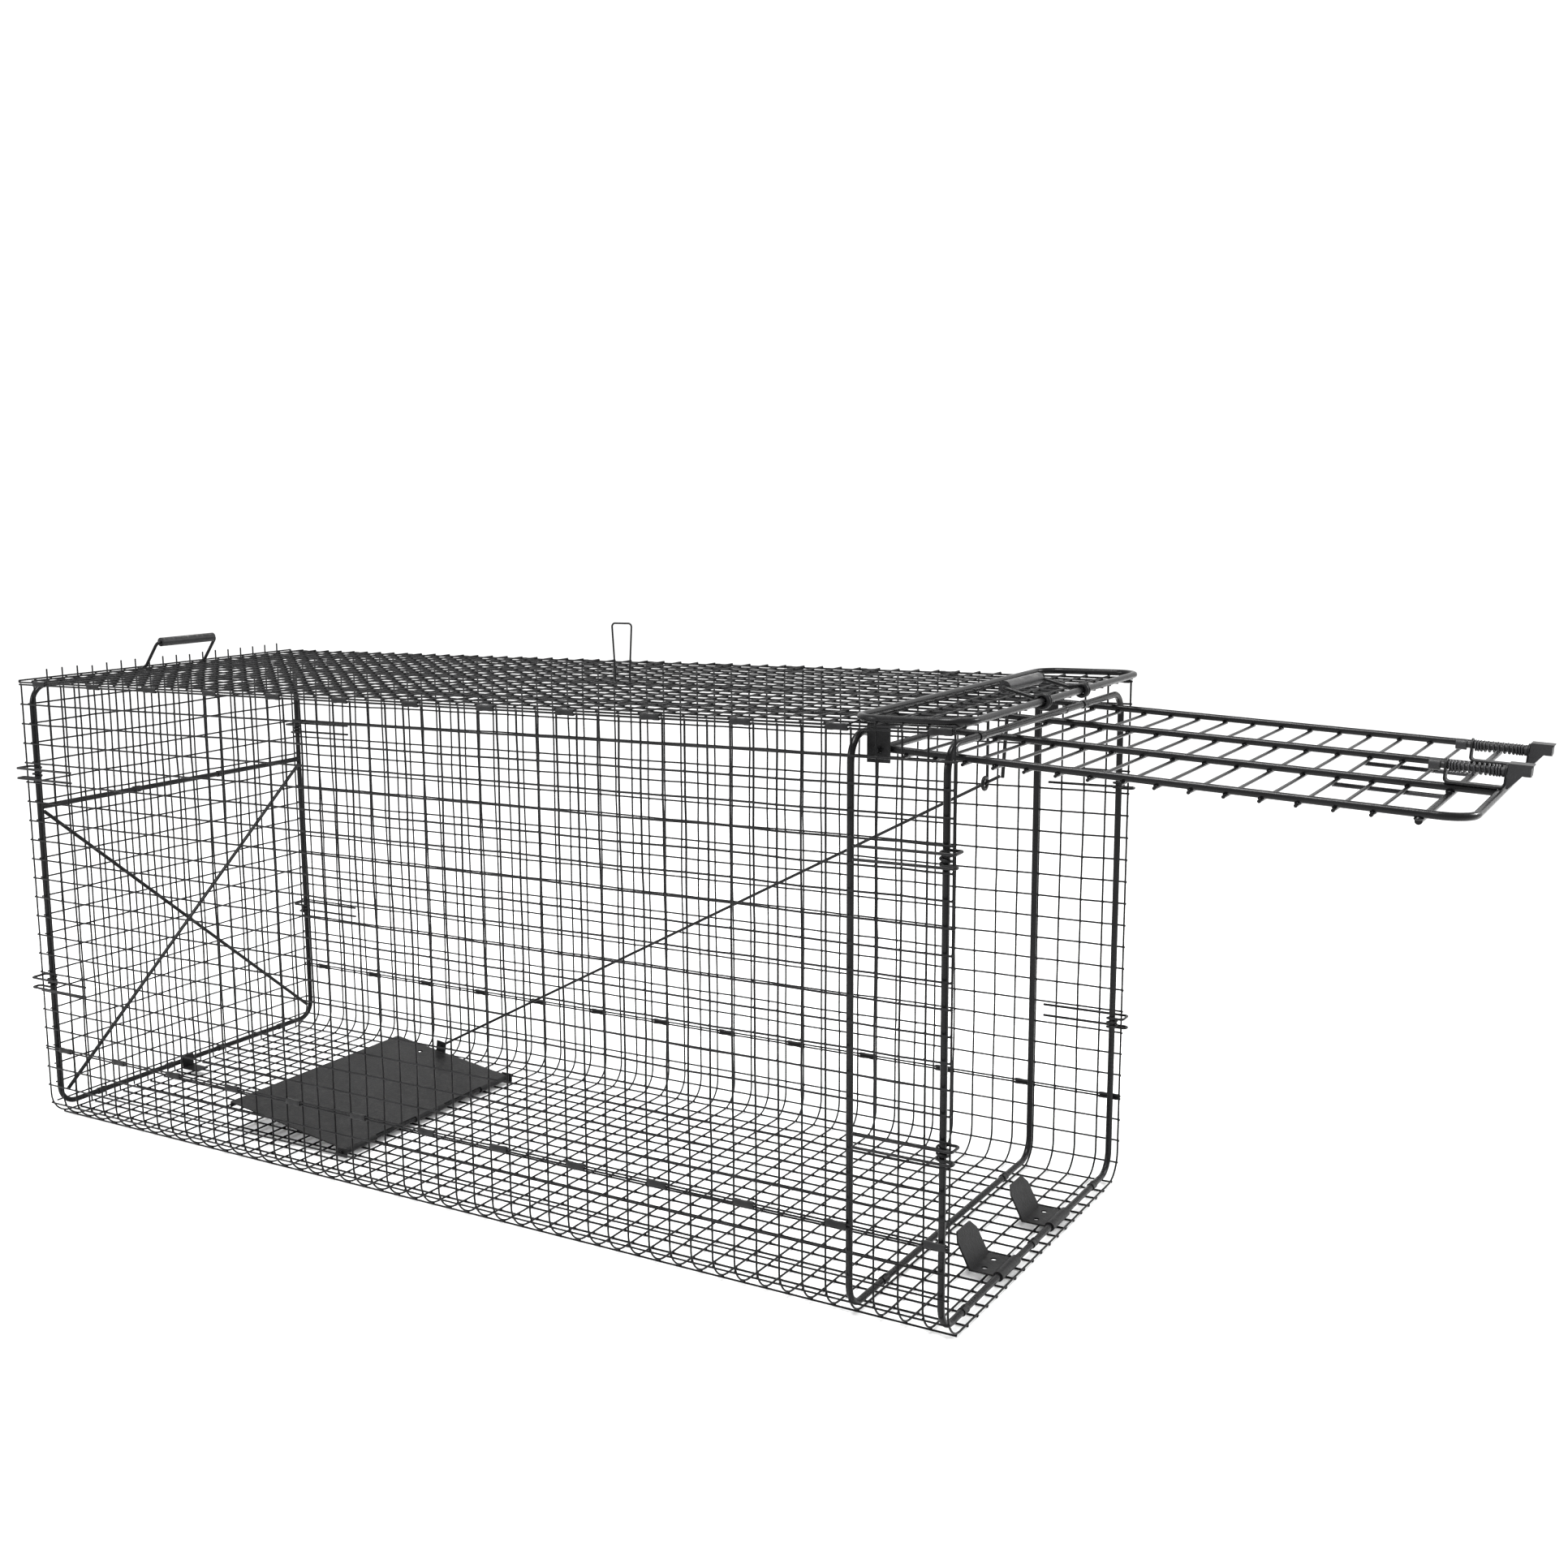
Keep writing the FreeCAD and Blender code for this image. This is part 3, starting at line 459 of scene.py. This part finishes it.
def edge_clips(node, side):
    """A row of wrapped clips, each pinched round the two edge wires and a little out of true."""
    piece = Piece()
    low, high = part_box(node)
    centre_z = (low.z + high.z) / 2
    half_z = (high.z - low.z) / 2
    centre_y = (low.y + high.y) / 2
    half_y = (high.y - low.y) / 2
    outline = wrap_outline(half_y, half_z, 0.0008, 0.0006, 0.0011)
    half = PITCH / 2 - WIRE_R - 0.0006
    for k in range(13):
        middle = HALF_LONG - PITCH / 2 - 4 * PITCH * k
        lean = noise.noise(Vector((middle * 50, side, centre_z * 20))) * 0.0006
        stations = []
        for part, pinch in ((-1, 0.9), (-0.93, 1.0), (-0.45, 1.0), (-0.25, 0.9), (0.25, 0.9), (0.45, 1.0),
                            (0.93, 1.0), (1, 0.9)):
            x = middle + part * half
            tilt_z = centre_z + lean * part * 0.5
            flank = -side * pinch
            stations.append([Vector((x, centre_y + y * flank, tilt_z + z * pinch)) for y, z in outline])
        piece.extrude(stations)
    piece.place(node + "_wraps", "clip_sheet", "cage", [node], 35)


def islands(item):
    """The boxes of a CAD node's separate solids."""
    mesh = item.data
    parent = list(range(len(mesh.vertices)))

    def root(v):
        while parent[v] != v:
            parent[v] = parent[parent[v]]
            v = parent[v]
        return v

    spots = {}
    for v in mesh.vertices:
        key = tuple(round(c, 6) for c in v.co)
        parent[v.index] = root(spots.setdefault(key, v.index))
    for edge in mesh.edges:
        a, b = (root(v) for v in edge.vertices)
        parent[a] = b
    groups = {}
    for v in mesh.vertices:
        groups.setdefault(root(v.index), []).append(v.co)
    boxes = []
    for points in groups.values():
        low = Vector([min(p[k] for p in points) for k in range(3)])
        high = Vector([max(p[k] for p in points) for k in range(3)])
        boxes.append((low, high))
    return sorted(boxes, key=lambda b: tuple(b[0]))


def rod_wraps(node):
    """Sheet wraps round a cross rod: a rolled tube with a seam, its edges slightly flared."""
    piece = Piece()
    for low, high in islands(frame["nodes"][node]):
        centre = (low + high) / 2
        radius = (high.z - low.z) / 2
        half = (high.y - low.y) / 2
        ring = []
        for s in range(21):
            turn = math.radians(100 + 340 * s / 20)
            ring.append((radius * math.cos(turn), radius * math.sin(turn)))
        inner = ROD_R / radius
        outline = ring + [(x * inner, z * inner) for x, z in reversed(ring)]
        stations = []
        for part, flare in ((-1, 0.985), (-0.9, 1.0), (-0.3, 1.0), (-0.15, 0.96), (0.15, 0.96), (0.3, 1.0),
                            (0.9, 1.0), (1, 0.985)):
            y = centre.y + part * half
            stations.append([Vector((centre.x + x * flare, y, centre.z + z * flare)) for x, z in outline])
        piece.extrude(stations)
    piece.place(node + "_wraps", "clip_sheet", "cage", [node], 35)


# Door

PIVOT = Vector((0.5500, 0, 0.5611))
DROP = math.radians(3.3)
DOOR_HALF = 0.219
MIDDLE_Y = 0.071
DOOR_WIRES = [0.0244 + 0.0287 * k for k in range(15)]
LATCH_BAR_AT = 0.460
DOUBLER_AT = (0.365, 0.4255, 0.4567)
DOUBLER_HEIGHT = -0.00916
BOLT_HEIGHT = 0.0185
EYES_AT = (0.4545, 0.5010)
COIL_AT = (0.4566, 0.4966)
COIL_TURNS = 13


def door_point(along, across, height):
    """A point given along the open door from its pivot, across it and above its rods."""
    x = along * math.cos(DROP) + height * math.sin(DROP)
    return PIVOT + Vector((x, across, height * math.cos(DROP) - along * math.sin(DROP)))


def door_welds():
    """The lumps of weld where the door's wires and latch bar cross its rods."""
    piece = Piece()
    for y in (-DOOR_HALF, -MIDDLE_Y, MIDDLE_Y, DOOR_HALF):
        for along in DOOR_WIRES:
            swell = 1 + 0.25 * noise.noise(Vector((along, y, 0)) * 300)
            piece.bead(door_point(along, y, -0.0038), Vector((0.0030, 0.0034, 0.0017)) * swell, along * 90)
        piece.bead(door_point(LATCH_BAR_AT, y, -0.0042), Vector((0.0044, 0.0042, 0.0024)), y * 50)
    for y in (-MIDDLE_Y, MIDDLE_Y):
        piece.bead(door_point(0.0036, y, 0), Vector((0.0019, 0.0044, 0.0044)), 0.4)
        piece.bead(door_point(0.4943, y, 0), Vector((0.0019, 0.0044, 0.0044)), 0.9)
    piece.place("door_weld_beads", "coated_rod", "door")


def door_doublers():
    """Short rods under the middle rods, closely wound with thin wire for their first part."""
    piece = Piece()
    start, change, end = DOUBLER_AT
    for y in (-MIDDLE_Y, MIDDLE_Y):
        wound = [door_point(along, y, DOUBLER_HEIGHT) for along in span(start, change, 111)]
        piece.sweep(wound, [0.0024 if k % 2 else 0.0019 for k in range(len(wound))], 10)
        plain = [door_point(along, y, DOUBLER_HEIGHT) for along in (change, end)]
        piece.cut_bar(plain, 0.0021, 12)
    piece.place("door_doubler_windings", "spring_steel", "door", ["door_doubler_rods"], 25)


def latch_strap(name, side):
    """A strap on a middle rod, bent up at both ends into the round eyes that carry the bolt."""
    piece = Piece()
    y = side * MIDDLE_Y
    tail, nose = EYES_AT
    eye_foot, sole = 0.0135, 0.00455
    bends = ((tail, eye_foot), (tail, sole), (nose, sole), (nose, eye_foot))
    line = rounded([Vector((along, 0, height)) for along, height in bends], 0.0034)
    lower = [(-5.0, -0.7), (-4.7, -1.0), (4.7, -1.0), (5.0, -0.7)]
    section = lower + [(wide, -thick) for wide, thick in reversed(lower)]
    stations = []
    for k, spot in enumerate(line):
        along = (line[min(k + 1, len(line) - 1)] - line[max(k - 1, 0)]).normalized()
        upward = Vector((-along.z, 0, along.x))
        places = [(spot + upward * (thick / 1000), wide / 1000) for wide, thick in section]
        stations.append([door_point(place.x, y + wide, place.z) for place, wide in places])
    piece.extrude(stations)
    axis = door_point(1, 0, 0) - PIVOT
    for along in EYES_AT:
        piece.washer(door_point(along, y, BOLT_HEIGHT), axis, (0.0032, 0.0065), 0.002)
    piece.place("latch_strap_" + name, "coated_sheet", "door", ["latch_carrier_" + name], 35)


def latch_coil(name, side):
    """The coil spring behind the bolt's collar; the real one shortens as the bolt goes back, this one is built
    at one length.
    """
    piece = Piece()
    across = side * MIDDLE_Y
    first, last = COIL_AT
    count = COIL_TURNS * 18
    upward = door_point(0, 0, 1) - PIVOT
    coil = []
    for k in range(count + 1):
        part = k / count
        turn = 2 * math.pi * COIL_TURNS * part
        along = first + (last - first) * (part - 0.06 * math.sin(2 * math.pi * part))
        out = Y_AXIS * math.cos(turn) + upward * math.sin(turn)
        coil.append(door_point(along, across, BOLT_HEIGHT) + out * 0.0046)
    piece.cut_bar(coil, 0.00085)
    item = piece.place("latch_coil_" + name, "spring_steel", "door", ["latch_spring_" + name])
    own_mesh(item)


# Frames

def frame_welds():
    """Butt welds on the hoops' top bars and the beads that hold the rear cross bar."""
    piece = Piece()
    for node, y in (("front_hoop", 0.062), ("stop_hoop", -0.058), ("rear_hoop", 0.094)):
        low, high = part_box(node)
        centre = Vector(((low.x + high.x) / 2, y, high.z - ROD_R))
        reach = (-0.0034, -0.0022, -0.0008, 0.0006, 0.0021, 0.0033)
        swell = (0.00345, 0.00395, 0.0042, 0.00405, 0.00415, 0.00345)
        piece.sweep([centre + Y_AXIS * part for part in reach], list(swell), 14)
    low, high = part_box("rear_cross_bar")
    middle = (low + high) / 2
    for y in (low.y, high.y):
        piece.bead(Vector((middle.x, y, middle.z)), Vector((0.0047, 0.0026, 0.0046)), 0.3)
    piece.place("hoop_weld_beads", "coated_rod", "cage")


# Locks and handles

PIN_R = 0.0015
PIN_COIL_R = 0.00535
PIN_HALF_GAP = 0.0065


def hairpin(node, towards, side, arm, offset):
    """One wire coiled two and a half times round a post, both ends led out past the edge and back."""
    low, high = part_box(node)
    post = Vector((hoops_x[0] if towards < 0 else hoops_x[2], side * POST_Y, (low.z + high.z) / 2))
    tip_x = low.x if towards < 0 else high.x
    coil = []
    for k in range(41):
        turn = 2 * math.pi * 2.5 * k / 40
        spot = Vector((towards * math.sin(turn), side * math.cos(turn), 0)) * PIN_COIL_R
        coil.append(post + spot + Z_AXIS * (PIN_HALF_GAP * (k / 20 - 1)))
    legs = []
    for start in (coil[0], coil[-1]):
        corner = Vector((post.x - towards * arm, start.y, start.z))
        outside = Vector((corner.x, post.y + side * offset, start.z))
        tip = Vector((tip_x, outside.y, start.z))
        legs.append(rounded([start, corner, outside, tip], 0.0035)[1:])
    piece = Piece()
    piece.cut_bar(legs[0][::-1] + coil + legs[1], PIN_R, 10)
    piece.place(node + "_coil", "coated_wire", node + "_body", [node])


def bail(name, hinge, grip, half, wound):
    """A wire bail whose ends are wound round its rod, wound being how far in steps of 15 degrees."""
    towards = (grip - hinge).normalized()
    upward = Y_AXIS.cross(towards) * (-1 if Y_AXIS.cross(towards).z < 0 else 1)
    near = []
    for k in range(wound + 1):
        turn = math.radians(15 * (k - wound))
        spot = hinge + (upward * math.cos(turn) + towards * math.sin(turn)) * 0.006
        near.append(spot - Y_AXIS * (half - 0.0048 * turn / (2 * math.pi)))
    far = [Vector((p.x, -p.y, p.z)) for p in reversed(near)]
    corners = [grip - Y_AXIS * half, grip + Y_AXIS * half]
    knees = [hinge + towards * 0.013 - Y_AXIS * half, hinge + towards * 0.013 + Y_AXIS * half]
    middle = rounded([near[-1], knees[0]] + corners + [knees[1], far[0]], 0.006)
    piece = Piece()
    piece.cut_bar(near + middle[1:-1] + far, 0.0022, 12)
    piece.place(name + "_handle_hooks", "coated_wire", name + "_handle", [name + "_handle_bail"])


# Floor, light and camera

def studio():
    """A plain pale floor, soft light from above and a white surround."""
    bpy.ops.mesh.primitive_plane_add(size=60, location=(0, 0, 0))
    floor = bpy.context.object
    floor.name = "studio_floor"
    paper = bpy.data.materials.new("studio_paper")
    paper.use_nodes = True
    shader = paper.node_tree.nodes["Principled BSDF"]
    shader.inputs["Base Color"].default_value = (0.96, 0.96, 0.96, 1)
    shader.inputs["Roughness"].default_value = 0.9
    shader.inputs["Specular IOR Level"].default_value = 0.1
    floor.data.materials.append(paper)
    world = bpy.data.worlds.new("studio_white")
    world.use_nodes = True
    world.node_tree.nodes["Background"].inputs["Color"].default_value = (1, 1, 1, 1)
    world.node_tree.nodes["Background"].inputs["Strength"].default_value = 1.2
    bpy.context.scene.world = world
    for name, spot, size, power in (
        ("overhead", (0.4, -0.6, 2.6), 1.0, 90),
        ("left_front", (-1.8, -2.6, 1.6), 0.7, 60),
        ("right_rear", (2.6, 1.8, 1.8), 0.6, 50),
    ):
        lamp = bpy.data.lights.new(name, "AREA")
        lamp.shape = "DISK"
        lamp.size = size
        lamp.energy = power
        item = bpy.data.objects.new(name, lamp)
        item.location = spot
        item.rotation_euler = (Vector((0.2, 0, 0.3)) - Vector(spot)).to_track_quat("-Z", "Y").to_euler()
        bpy.context.scene.collection.objects.link(item)


def camera():
    """A camera at the near front corner, a little above the roof."""
    turn, fall, roll = (math.radians(a) for a in (35.1, 9.67, -1.46))
    right = Vector((math.cos(turn), math.sin(turn), 0))
    forward = Vector((-math.sin(turn) * math.cos(fall), math.cos(turn) * math.cos(fall), -math.sin(fall)))
    up = right.cross(forward)
    lens = bpy.data.cameras.new("camera")
    lens.lens = 41.37
    lens.shift_x = 0.1504
    lens.shift_y = 0.0195
    lens.clip_end = 100
    item = bpy.data.objects.new("camera", lens)
    across = right * math.cos(roll) + up * math.sin(roll)
    upward = up * math.cos(roll) - right * math.sin(roll)
    tilted = [across, upward, -forward]
    item.matrix_world = Matrix.Translation((1.2519, -1.7626, 0.7903)) @ Matrix(tilted).transposed().to_4x4()
    bpy.context.scene.collection.objects.link(item)
    bpy.context.scene.camera = item


roof()
tray()
rear()
for name, side in SIDES.items():
    side_wall(name, side)
    edge_clips("roof_edge_clips_" + name, side)
    edge_clips("tray_edge_clips_" + name, side)
for node in ("front_rod_clips", "stop_rod_clips", "rear_rod_clips", "rear_bar_clips"):
    rod_wraps(node)
door_welds()
door_doublers()
for name, side in SIDES.items():
    latch_strap(name, side)
    latch_coil(name, side)
frame_welds()
for level in ("upper", "lower"):
    for name, side in SIDES.items():
        hairpin("_".join(("front_hairpin", name, level)), -1, side, 0.014, 0.014)
        hairpin("_".join(("rear_hairpin", name, level)), 1, side, 0.019, 0.0175)
for name, hinge, half, wound in (
    ("front", Vector((0.6450, 0, 0.59247)), 0.053, 44),
    ("rear", Vector((-0.6220, 0, 0.5806)), 0.055, 22),
):
    low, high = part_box(name + "_handle_grip")
    bail(name, hinge, (low + high) / 2, half, wound)
studio()
camera()
bpy.context.scene.view_settings.view_transform = "Standard"
